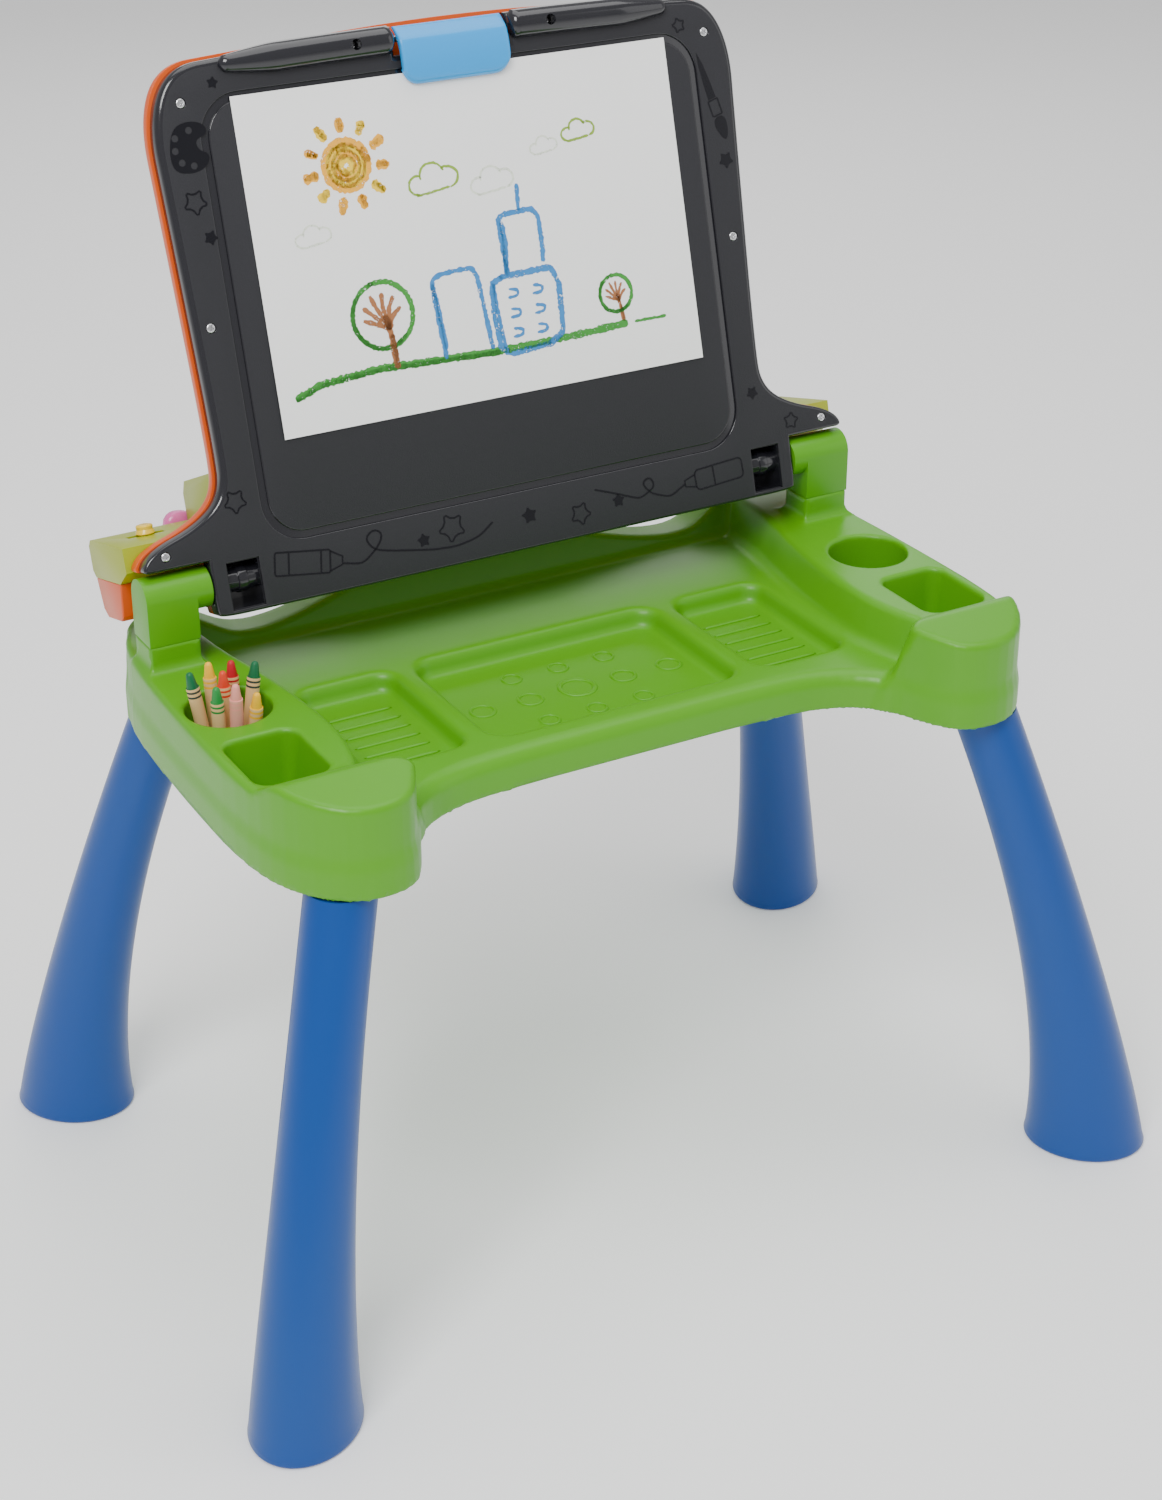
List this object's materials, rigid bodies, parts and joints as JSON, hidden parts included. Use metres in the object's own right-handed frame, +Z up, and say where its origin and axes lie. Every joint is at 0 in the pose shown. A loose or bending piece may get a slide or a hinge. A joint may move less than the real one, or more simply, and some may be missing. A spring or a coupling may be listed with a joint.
{
  "type": "activity desk toy",
  "caption": "Child's activity desk on flared legs with a lid that stands up as an easel and folds flat as a desk top with an electronic console.",
  "frame": {"origin": "on the floor, midway between the four feet", "axes": "+Z up, +X to the child's right, +Y away from the child towards the hinge side"},
  "size_m": [0.6408, 0.4456, 0.7032],
  "materials": {
    "green_plastic": "satin moulded polypropylene, fine grain",
    "blue_plastic": "satin moulded polypropylene",
    "orange_plastic": "satin moulded ABS",
    "charcoal_plastic": "fine textured moulded ABS with glossy edges",
    "black_gloss": "polished moulded ABS",
    "dark_plastic": "plain moulded ABS",
    "lime_plastic": "satin moulded ABS",
    "sky_plastic": "polished moulded ABS",
    "pink_plastic": "polished moulded ABS",
    "yellow_plastic": "polished moulded ABS",
    "red_plastic": "polished moulded ABS",
    "blue_button": "polished moulded ABS",
    "purple_plastic": "polished moulded ABS",
    "pin_steel": "drawn steel rod",
    "screw_steel": "zinc plated steel",
    "spring_steel": "spring wire",
    "drawing_paper": "plain white drawing paper with crayon strokes",
    "page_card": null,
    "display_window": "clear acrylic",
    "display_panel": "dark lamp panel",
    "circuit_board": "solder resist",
    "speaker": "paper cone in a steel basket",
    "battery_cells": "printed sleeve",
    "crayon_dark_green": "wax with a paper wrapper",
    "crayon_yellow": "wax with a paper wrapper",
    "crayon_green": "wax with a paper wrapper",
    "crayon_orange_red": "wax with a paper wrapper",
    "crayon_crimson": "wax with a paper wrapper",
    "crayon_pink": "wax with a paper wrapper"
  },
  "bodies": {
    "desk": {"tray": "green_plastic", "hinge_cap_left": "green_plastic", "hinge_cap_right": "green_plastic", "hinge_pin_left": "pin_steel", "hinge_pin_right": "pin_steel", "hinge_screws": "screw_steel", "leg_front_left": "blue_plastic", "leg_front_right": "blue_plastic", "leg_back_left": "blue_plastic", "leg_back_right": "blue_plastic", "crayons_dark_green": "crayon_dark_green", "crayons_yellow": "crayon_yellow", "crayon_green": "crayon_green", "crayon_orange_red": "crayon_orange_red", "crayon_crimson": "crayon_crimson", "crayon_pink": "crayon_pink"},
    "lid": {"board_frame": "charcoal_plastic", "top_bar": "black_gloss", "lid_shell": "orange_plastic", "hinge_barrel_left": "black_gloss", "hinge_barrel_right": "black_gloss", "lid_screws": "screw_steel", "paper_sheet": "drawing_paper", "page_frame": "lime_plastic", "activity_page": "page_card", "console_housing": "lime_plastic", "console_base": "orange_plastic", "display_window": "display_window", "display_panel": "display_panel", "circuit_board": "circuit_board", "speaker": "speaker", "battery_case": "dark_plastic", "batteries": "battery_cells", "battery_door": "orange_plastic", "battery_door_screw": "screw_steel", "clip_pin": "pin_steel", "clip_spring": "spring_steel"},
    "clip": {"clip_jaw": "sky_plastic"},
    "handset": {"handset": "pink_plastic"},
    "power_slider": {"power_slider": "yellow_plastic"},
    "red_button": {"button_red": "red_plastic"},
    "yellow_button": {"button_yellow": "yellow_plastic"},
    "blue_button": {"button_blue": "blue_button"},
    "purple_button": {"button_purple": "purple_plastic"}
  },
  "joints": [
    {"name": "lid_hinge", "type": "hinge", "parent": "desk", "child": "lid", "pos_m": [0, 0.081, 0.406], "axis": [1, 0, 0], "range_deg": [0, 112]},
    {"name": "clip_hinge", "type": "hinge", "parent": "lid", "child": "clip", "pos_m": [0, 0.15459, 0.6938], "axis": [-1, 0, 0], "range_deg": [0, 12], "stiffness_Nm_per_rad": 1.2, "springref_deg": -20.05},
    {"name": "handset_lift", "type": "slide", "parent": "lid", "child": "handset", "axis": [0, 0.9636, -0.2672], "range_m": [0, 0.06]},
    {"name": "power_slide", "type": "slide", "parent": "lid", "child": "power_slider", "axis": [1, 0, 0], "range_m": [-0.006, 0.006]},
    {"name": "red_press", "type": "slide", "parent": "lid", "child": "red_button", "axis": [0, -0.9636, 0.2672], "range_m": [0, 0.002], "stiffness_N_per_m": 600, "springref_m": -0.001},
    {"name": "yellow_press", "type": "slide", "parent": "lid", "child": "yellow_button", "axis": [0, -0.9636, 0.2672], "range_m": [0, 0.002], "stiffness_N_per_m": 600, "springref_m": -0.001},
    {"name": "blue_press", "type": "slide", "parent": "lid", "child": "blue_button", "axis": [0, -0.9636, 0.2672], "range_m": [0, 0.002], "stiffness_N_per_m": 600, "springref_m": -0.001},
    {"name": "purple_press", "type": "slide", "parent": "lid", "child": "purple_button", "axis": [0, -0.9636, 0.2672], "range_m": [0, 0.002], "stiffness_N_per_m": 600, "springref_m": -0.001}
  ]
}
